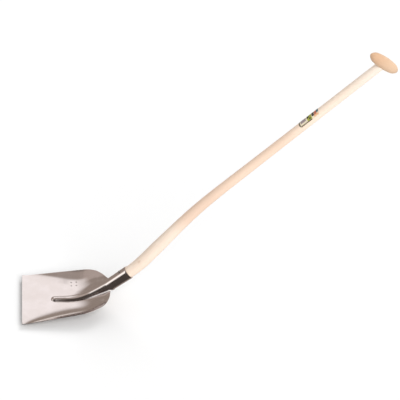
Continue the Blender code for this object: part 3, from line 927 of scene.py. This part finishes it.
class Recipe:
    """Adds nodes to one tree and gives back their sockets."""

    def __init__(self, owner):
        self.owner = owner
        owner.use_nodes = True
        self.tree = owner.node_tree
        self.tree.nodes.clear()

    def node(self, kind, settings=None, inputs=None, output=0):
        """Any node: its type, its settings, its inputs and the output that is wanted."""
        made = self.tree.nodes.new(kind)
        for key, value in (settings or {}).items():
            setattr(made, key, value)
        for key, value in (inputs or {}).items():
            if isinstance(value, Value):
                self.tree.links.new(value.socket, made.inputs[key])
            else:
                made.inputs[key].default_value = value
        return Value(self, made.outputs[output]) if made.outputs else made

    def maths(self, operation, *inputs):
        return self.node("ShaderNodeMath", {"operation": operation}, dict(enumerate(inputs)))

    def vectors(self, operation, *inputs, output=0):
        """Vector maths: output 0 is a vector, and output 1 is a number."""
        return self.node("ShaderNodeVectorMath", {"operation": operation},
                         dict(enumerate(inputs)), output)

    def mix(self, mask, first, second):
        """Mix two colours, given as links or as three numbers."""
        colors = {6: first, 7: second}
        for key, color in colors.items():
            if not isinstance(color, Value):
                colors[key] = (*color, 1.0)
        return self.node("ShaderNodeMix", {"data_type": "RGBA"}, {0: mask, **colors}, output=2)

    def band(self, value, low, high):
        """0 below low, 1 above high, smooth between them."""
        return self.node("ShaderNodeMapRange", {"interpolation_type": "SMOOTHSTEP"},
                         {0: value, 1: low, 2: high})

    def noise(self, place, scale, detail, roughness):
        return self.node("ShaderNodeTexNoise", {}, {
            "Vector": place, "Scale": scale, "Detail": detail, "Roughness": roughness})

    def stretched(self, place, scale, location=(0.0, 0.0, 0.0)):
        return self.node("ShaderNodeMapping", {}, {
            "Vector": place, "Scale": scale, "Location": location})

    def attribute(self, name):
        return self.node("ShaderNodeAttribute", {"attribute_name": name}, output=1)

    def attribute_value(self, name):
        return self.node("ShaderNodeAttribute", {"attribute_name": name}, output=2)

    def bump(self, height, distance, over=None):
        """A bump, on its own or on top of another one."""
        inputs = {"Height": height, "Distance": distance}
        if over is not None:
            inputs["Normal"] = over
        return self.node("ShaderNodeBump", {}, inputs)

    def finish(self, inputs):
        """The surface shader and the output."""
        shader = self.node("ShaderNodeBsdfPrincipled", {}, inputs)
        self.node("ShaderNodeOutputMaterial", {}, {"Surface": shader})


# %% Start a finish and lay it on a piece


def new_recipe(name):
    return Recipe(bpy.data.materials.new(name))


def coat(piece, recipe):
    """The piece wears this finish and no other."""
    piece.data.materials.clear()
    piece.data.materials.append(recipe.owner)
    print(piece.name, "wears", recipe.owner.name, "with", len(recipe.tree.nodes), "nodes")


# %% [markdown]
# ## Pressed steel
# The pan is bright ground steel, smooth and a little warm. It has long faint
# grinding marks, a rim that is worn brighter and four small punch marks beside
# the rib. Along the rib's foot runs a painted highlight: a pale, half-matte line
# that stands in for the reflection in the fillet there. It could be painted as a
# picture, but a metal shows almost no colour of its own, so most of it sits in
# roughness and bump. All of it reads the pan's attributes "blank", "rim" and
# "foot", so it follows the steel round the bends.

# %% Grinding marks and worn rim
MARK_STRETCH = (12.0, 900.0, 1.0)
LONG_MARK_STRETCH = (4.0, 220.0, 1.0)
CLOUD_SCALE = 14.0
DULL_STEEL = (0.80, 0.745, 0.725)
BRIGHT_STEEL = (0.86, 0.81, 0.80)
WORN_STEEL = (0.93, 0.90, 0.89)
WORN_RIM = (0.0006, 0.0035)

steel = new_recipe("bright_pressed_steel")
blank_place = steel.attribute("blank")
marks = steel.noise(steel.stretched(blank_place, MARK_STRETCH), 1.0, 4.0, 0.6)
long_marks = steel.noise(steel.stretched(blank_place, LONG_MARK_STRETCH), 1.0, 2.0, 0.5)
clouds = steel.noise(blank_place, CLOUD_SCALE, 3.0, 0.55)
worn_rim = 1.0 - steel.band(steel.attribute_value("rim"), *WORN_RIM)
tint = steel.mix(steel.band(clouds, 0.35, 0.7), DULL_STEEL, BRIGHT_STEEL)
tint = steel.mix(worn_rim * 0.7, tint, WORN_STEEL)

# %% [markdown]
# The four punch marks are the corners of a small rectangle on the far side of
# the rib. Real dents of this size would need a much finer grid, so they are a
# bump, and their darker tint is painted shade in the dents. Folding the blank's
# place about the rectangle's middle lays its four corners on one another, so one
# distance draws them all.

# %% Punch marks
PUNCH_MIDDLE = (0.1770, 0.0793, 0.0)
PUNCH_HALF_STEP = (0.0081, 0.0071, 0.0)
PUNCH_EDGE = (0.0013, 0.0030)
PUNCH_DEPTH = 0.00025
PUNCH_PAINTED_SHADE = (0.40, 0.37, 0.36)

from_middle = steel.vectors("SUBTRACT", blank_place, PUNCH_MIDDLE)
folded_place = steel.vectors("ABSOLUTE", from_middle)
to_punch = steel.vectors("DISTANCE", folded_place, PUNCH_HALF_STEP, output=1)
punched = 1.0 - steel.band(to_punch, *PUNCH_EDGE)
# Painted shade: the dents are tinted darker, as shade in a recess would make them.
tint = steel.mix(punched * 0.65, tint, PUNCH_PAINTED_SHADE)

# %% The painted highlight at the rib's foot, and the finished steel
FOOT_HIGHLIGHT_EDGE = (0.0012, 0.0030)
FOOT_HIGHLIGHT_START = (0.205, 0.250)
FOOT_HIGHLIGHT_END = (0.300, 0.312)
FOOT_HIGHLIGHT_COLOR = (0.95, 0.88, 0.87)
MARK_DEPTH = 0.000004

# Painted highlight: a pale, less metallic line along the rib's foot stands in for the fillet's
# reflection.
painted_foot_highlight = 1.0 - steel.band(steel.attribute_value("foot"), *FOOT_HIGHLIGHT_EDGE)
run = steel.node("ShaderNodeSeparateXYZ", {}, {0: blank_place})
painted_foot_highlight = painted_foot_highlight * steel.band(run, *FOOT_HIGHLIGHT_START) * (1.0 - steel.band(run, *FOOT_HIGHLIGHT_END))
tint = steel.mix(painted_foot_highlight, tint, FOOT_HIGHLIGHT_COLOR)
rough = 0.09 + marks * 0.05 + clouds * 0.04 + punched * 0.10 + painted_foot_highlight * 0.30
ground = steel.bump(marks * 0.6 + long_marks * 0.4, MARK_DEPTH)
steel.finish({"Base Color": tint, "Metallic": 1.0 - painted_foot_highlight * 0.65, "Roughness": rough,
              "Normal": steel.bump(1.0 - punched, PUNCH_DEPTH, ground)})
coat(pan, steel)

# %% [markdown]
# ## Plain steel
# Rivet, washer and nail are plain wire and plate, dulled by the hammer. They are
# too small for marks of their own, so one fine noise is enough, and it can read
# the plain object coordinates.

# %% Plain steel of rivet, washer and nail
HAMMER_SCALE = 700.0
HAMMER_DEPTH = 0.0001
STRUCK_DARK = (0.36, 0.33, 0.31)
STRUCK_PALE = (0.56, 0.53, 0.51)

rivet_steel = new_recipe("plain_rivet_steel")
object_place = rivet_steel.node("ShaderNodeTexCoord", output=3)
hammered = rivet_steel.noise(object_place, HAMMER_SCALE, 3.0, 0.6)
rivet_steel.finish({"Base Color": rivet_steel.mix(hammered, STRUCK_DARK, STRUCK_PALE),
                    "Metallic": 1.0, "Roughness": 0.3 + hammered * 0.2,
                    "Normal": rivet_steel.bump(hammered, HAMMER_DEPTH)})
for piece in (rivet, washer, nail):
    coat(piece, rivet_steel)

# %% [markdown]
# ## Wood
# Stick and grip are sanded hardwood, so both share one recipe with other
# colours. The figure is that of a trunk: yearly rings about a far-off middle,
# drawn out along the wood, with fine dark pores between them. A picture of wood
# would have to be bent round the stick, so the figure is worked out from the
# attribute "grain" and runs along each piece by itself. Wood also changes its
# tone slowly along its length, so a few zones of another tone are mixed in,
# each from one distance along the piece to another. On the grip the one zone is
# painted shade instead: it darkens one end of the barrel, as if less light fell
# there.

# %% One recipe for both woods
RING_STRETCH = (1.0, 1.0, 0.05)
RINGS_PER_METRE = 330.0
RING_WANDER = 0.012
KNOT_STRETCH = 0.55
KNOT_EDGE = (0.0010, 0.0060)
WOOD_DEPTH = 0.00012


def make_wood(name, pale, deep, pore, ring_middle, roughness, zones, knot=None):
    wood = new_recipe(name)
    place = wood.attribute("grain")

    def streaks(across, lengthwise, detail, rough):
        """Noise that is drawn out along the wood."""
        return wood.noise(wood.stretched(place, (across, across, lengthwise)), 1.0, detail, rough)

    wander = streaks(9.0, 1.6, 2.0, 0.5)
    reach = wood.vectors("LENGTH", wood.stretched(place, RING_STRETCH, ring_middle), output=1)
    rings = wood.maths("FRACT", (reach + wander * RING_WANDER) * RINGS_PER_METRE)
    year = wood.band(rings, 0.35, 0.98) * (1.0 - wood.band(rings, 0.96, 1.0))
    fibre = streaks(900.0, 22.0, 3.0, 0.6)
    pores = wood.band(streaks(1300.0, 60.0, 2.0, 0.5), 0.60, 0.78)
    drift = streaks(30.0, 5.0, 3.0, 0.5)
    tone = wood.mix(year * 0.55 + drift * 0.35, pale, deep)
    tone = wood.mix(wood.band(fibre, 0.3, 0.75) * 0.22, tone, deep)
    tone = wood.mix(pores * 0.35, tone, pore)
    along = wood.node("ShaderNodeSeparateXYZ", {}, {0: place}, output=2)
    for color, low, high, amount in zones:
        tone = wood.mix(wood.band(along, low, high) * amount, tone, color)
    if knot:
        middle = (knot[0], knot[1], knot[2] * KNOT_STRETCH)
        away = wood.vectors("DISTANCE", wood.stretched(place, (1.0, 1.0, KNOT_STRETCH)),
                            middle, output=1)
        tone = wood.mix((1.0 - wood.band(away, *KNOT_EDGE)) * 0.45, tone, pore)
    height = fibre * 0.5 + pores * -0.8 + year * 0.2
    wood.finish({"Base Color": tone, "Roughness": roughness + pores * 0.12 + year * 0.05,
                 "Normal": wood.bump(height, WOOD_DEPTH)})
    return wood


# %% The stick's pale wood
STICK_PALE = (0.98, 0.83, 0.70)
STICK_DEEP = (0.92, 0.72, 0.57)
STICK_PORE = (0.62, 0.40, 0.26)
STICK_RING_MIDDLE = (0.035, 0.022, 0.0)
KNOT_AT = (-0.0150, -0.0138, 0.062)
STICK_ZONES = [
    ((0.87, 0.63, 0.48), 0.21, 0.32, 0.85),
    ((0.94, 0.71, 0.55), 0.38, 0.56, 0.85),
    ((0.98, 0.82, 0.68), 0.72, 0.92, 0.85),
    ((0.96, 0.84, 0.73), 1.02, 1.16, 0.8),
]
stick_wood = make_wood("pale_stick_wood", STICK_PALE, STICK_DEEP, STICK_PORE,
                       STICK_RING_MIDDLE, 0.50, STICK_ZONES, KNOT_AT)
coat(stick, stick_wood)

# %% The grip's warmer wood
GRIP_PALE = (0.80, 0.58, 0.41)
GRIP_DEEP = (0.70, 0.46, 0.29)
GRIP_PORE = (0.40, 0.22, 0.11)
GRIP_RING_MIDDLE = (0.028, -0.030, 0.0)
# Painted shade: one end of the grip is made darker and warmer, as if less light fell on it.
GRIP_SHADED_END = [((0.66, 0.41, 0.25), -0.035, 0.062, 0.85)]
turned_wood = make_wood("warm_grip_wood", GRIP_PALE, GRIP_DEEP, GRIP_PORE,
                        GRIP_RING_MIDDLE, 0.42, GRIP_SHADED_END)
coat(grip, turned_wood)

# %% [markdown]
# ## The sticker's print
# The print is plain colour blocks of our own, without words or signs. It could
# be a picture on the sticker's UV map, but rectangles are quicker as masks from
# that map. They are mixed on top of each other in the order in which a printer
# would lay them down.

# %% A block of colour on the sticker
BLOCK_EDGE = 0.004
paper = new_recipe("printed_paper")
uv = paper.node("ShaderNodeUVMap", {"uv_map": sticker.data.uv_layers.active.name})
u = paper.node("ShaderNodeSeparateXYZ", {}, {0: uv})
v = u.also(1)


def inside(value, low, high):
    """1 between low and high, with a printed edge."""
    return paper.band(value, low - BLOCK_EDGE, low + BLOCK_EDGE) * (
        1.0 - paper.band(value, high - BLOCK_EDGE, high + BLOCK_EDGE))


def block(low_u, high_u, low_v, high_v):
    return inside(u, low_u, high_u) * inside(v, low_v, high_v)


# %% Print the sticker
PAPER_TONE = (0.82, 0.72, 0.52)
PAPER_FLECK = (0.9, 0.88, 0.84)
PAPER_DEPTH = 0.00003
BLOCKS = [
    (0.0, 0.95, 0.0, 0.06, (0.13, 0.10, 0.06)),
    (0.0, 0.76, 0.10, 0.36, (0.36, 0.28, 0.29)),
    (0.90, 1.0, 0.05, 0.62, (0.16, 0.12, 0.06)),
    (0.0, 0.90, 0.42, 0.64, (0.38, 0.39, 0.02)),
    (0.0, 0.68, 0.41, 0.51, (0.03, 0.03, 0.01)),
    (0.70, 0.86, 0.51, 0.59, (0.05, 0.05, 0.01)),
    (0.0, 0.80, 0.66, 0.77, (0.02, 0.02, 0.01)),
    (0.0, 0.82, 0.78, 0.90, (0.52, 0.14, 0.07)),
    (0.80, 0.94, 0.74, 0.97, (0.84, 0.44, 0.22)),
    (0.0, 0.74, 0.90, 1.0, (0.03, 0.12, 0.15)),
]
print_color = PAPER_TONE
for low_u, high_u, low_v, high_v, color in BLOCKS:
    print_color = paper.mix(block(low_u, high_u, low_v, high_v), print_color, color)
flecks = paper.noise(uv, 60.0, 2.0, 0.5)
print_color = paper.mix(flecks * 0.10, print_color, PAPER_FLECK)
paper.finish({"Base Color": print_color, "Roughness": 0.50 + flecks * 0.12,
              "Normal": paper.bump(flecks, PAPER_DEPTH)})
coat(sticker, paper)

# %% [markdown]
# ## The floor
# The shovel lies on a white sweep that keeps a soft shadow. A matte plane alone
# turns grey where the light thins out, and more light would bleach the shovel.
# So the plane glows a little, but only for rays from the camera. It lies a
# little below the sole, which draws the shadow off from under the steel.

# %% A white floor
FLOOR_SIZE = 400.0
FLOOR_HEIGHT = -0.014
FLOOR_GLOW = 0.055
FLOOR_GREY = 0.84

begin()
bpy.ops.mesh.primitive_plane_add(size=FLOOR_SIZE, location=(0.0, 0.0, FLOOR_HEIGHT))
floor = claim("white_floor")
settle(floor)
white = new_recipe("white_sweep")
for_camera = white.node("ShaderNodeLightPath")
glow = white.node("ShaderNodeEmission", {}, {
    "Color": (1.0, 1.0, 1.0, 1.0), "Strength": for_camera * FLOOR_GLOW})
matte = white.node("ShaderNodeBsdfDiffuse", {}, {
    "Color": (FLOOR_GREY, FLOOR_GREY, FLOOR_GREY, 1.0)})
both = white.node("ShaderNodeAddShader", {}, {0: glow, 1: matte})
white.node("ShaderNodeOutputMaterial", {}, {"Surface": both})
coat(floor, white)
floor.visible_glossy = False

# %% [markdown]
# ## The lamps
# Two broad lamps stand in for soft boxes. The near one comes over the camera's
# right shoulder and gives form. The far one is weaker, stands behind on the
# right, and lays the shadow towards the camera. Area lamps would light the long
# stick unevenly, so both are suns with a wide angle. The steel doesn't mirror
# them, because the next step draws what it mirrors.

# %% Two soft lamps


def soft_lamp(name, comes_from, energy, angle):
    bpy.ops.object.light_add(type="SUN", location=(0.0, 0.0, 3.0))
    lamp = bpy.context.object
    lamp.name = name
    lamp.data.energy = energy
    lamp.data.angle = math.radians(angle)
    lamp.rotation_euler = Vector(comes_from).to_track_quat("Z", "Y").to_euler()
    lamp.visible_glossy = False
    print(name, "shines from", comes_from, "with", energy, "W/m2")


soft_lamp("near_lamp", (0.38, -0.70, 0.60), 2.1, 42.0)
soft_lamp("far_lamp", (0.45, 0.60, 0.66), 0.95, 30.0)

# %% [markdown]
# ## What the steel mirrors
# Bright steel has no look of its own, it shows the room. Screens could be set up
# round the shovel as planes, but they would stand in the way of other views. So
# the world draws the room by direction. The camera sees white, matte pieces get
# an even fill that is brighter from the far side, and rays that leave a gloss
# see a studio. Two angles place everything in it. Swing goes about the shovel's
# length: 0 is level on the far side, 90 straight up and 180 level on the near
# side. Lean is 90 towards the handle and -90 past the front edge.

# %% Two angles for every direction
world = bpy.data.worlds.new("studio")
bpy.context.scene.world = world
room = Recipe(world)
is_camera = room.node("ShaderNodeLightPath")
is_glossy = is_camera.also("Is Glossy Ray")
direction = room.node("ShaderNodeTexCoord", output=0)
to_handle = room.node("ShaderNodeSeparateXYZ", {}, {0: direction})
to_far = to_handle.also(1)
up = to_handle.also(2)
lean = room.maths("ARCSINE", to_handle)
swing = room.maths("ARCTAN2", up, to_far)


def past(value, low, high):
    """0 below one angle and 1 above another, in degrees."""
    return room.band(value, math.radians(low), math.radians(high))


def between(value, low, high, blur):
    """1 between two angles, in degrees, with soft edges."""
    return past(value, low - blur, low + blur) * (1.0 - past(value, high - blur, high + blur))


# %% Dim walls and ceiling, and a dark near side with a window
NEAR_DARK = (0.070, 0.058, 0.052)
NEAR_WINDOW = (0.640, 0.600, 0.580)
LOW_WALL = (0.315, 0.262, 0.228)
CEILING_FRONT = (0.460, 0.390, 0.355)
CEILING_REAR = (0.345, 0.295, 0.265)
window = past(swing, 0.0, 10.0) * past(lean, -3.0, 2.0)
near_side = room.mix(window, NEAR_DARK, NEAR_WINDOW)
ceiling = room.mix(past(lean, -24.0, -15.0), CEILING_FRONT, CEILING_REAR)
studio = room.mix(past(swing, 58.0, 70.0), LOW_WALL, ceiling)
studio = room.mix(between(swing, -100.0, 116.0, 7.0), near_side, studio)

# %% A low lamp at the far horizon
LOW_LAMP = (1.0, 0.93, 0.89)
low_lamp = between(swing, -24.0, 8.0, 5.0) * between(lean, -11.0, 60.0, 5.0)
studio = room.mix(low_lamp, studio, LOW_LAMP)

# %% The wall lamp, with a slanted soft side and a step in its head
WALL_LAMP = (1.05, 1.005, 1.0)
LAMP_SLANT = 0.95
HEAD_STEP = math.radians(18.0)
slant = room.maths("MINIMUM", (swing - math.radians(40.0)) * LAMP_SLANT, 0.0)
lamp_side = room.node("ShaderNodeMapRange", {}, {
    0: lean + slant, 1: math.radians(-31.0), 2: math.radians(-11.5)})
lamp_foot = past(swing, 26.0, 36.0)
head_step = past(lean * -1.0, 3.0, 11.0) * HEAD_STEP
lamp_head = 1.0 - past(swing - head_step, 56.0, 68.0)
wall_lamp = lamp_foot * lamp_head * lamp_side * (1.0 - between(lean, 40.0, 90.0, 9.0))
studio = room.mix(wall_lamp, studio, WALL_LAMP)

# %% A side lamp past the front edge
SIDE_LAMP = (1.35, 1.30, 1.26)
side_lamp = between(lean, -68.0, -54.0, 4.0) * between(swing, 92.0, 178.0, 12.0)
studio = room.mix(side_lamp, studio, SIDE_LAMP)

# %% Who sees what
FILL_NEAR = (0.38, 0.38, 0.38)
FILL_FAR = (0.72, 0.72, 0.72)
fill = room.mix(0.5 + to_far * 0.45, FILL_NEAR, FILL_FAR)
plain = room.mix(is_glossy, fill, studio)
backdrop = room.mix(is_camera, plain, (1.0, 1.0, 1.0))
background = room.node("ShaderNodeBackground", {}, {"Color": backdrop, "Strength": 1.0})
room.node("ShaderNodeOutputWorld", {}, {"Surface": background})
print("the studio has", len(room.tree.nodes), "nodes")

# %% [markdown]
# ## The camera
# The photograph looks down on the shovel from far off, with a long lens. Place
# and axes were fitted to the pan's outline, the socket and the stick, so they
# are set as plain vectors. Angles would only have to be worked out from them.

# %% Set up the camera
CAMERA_PLACE = Vector((0.0823, -15.5861, 12.6044))
CAMERA_RIGHT = Vector((0.99971, -0.02263, 0.00867))
CAMERA_DOWN = Vector((-0.00711, -0.61578, -0.78789))
CAMERA_AHEAD = Vector((0.02317, 0.78759, -0.61576))
SENSOR_WIDTH = 36.0
LENS = 540.0
FARTHEST = 500.0

bpy.ops.object.camera_add()
camera = bpy.context.object
camera.name = "view_of_the_photo"
turn = Matrix((CAMERA_RIGHT, -CAMERA_DOWN, -CAMERA_AHEAD)).transposed()
camera.matrix_world = Matrix.Translation(CAMERA_PLACE) @ turn.to_4x4()
camera.data.sensor_width = SENSOR_WIDTH
camera.data.lens = LENS
camera.data.clip_end = FARTHEST
bpy.context.scene.camera = camera
bpy.context.scene.view_settings.view_transform = "Standard"
print("the camera stands", round(CAMERA_PLACE.length, 2), "m away")
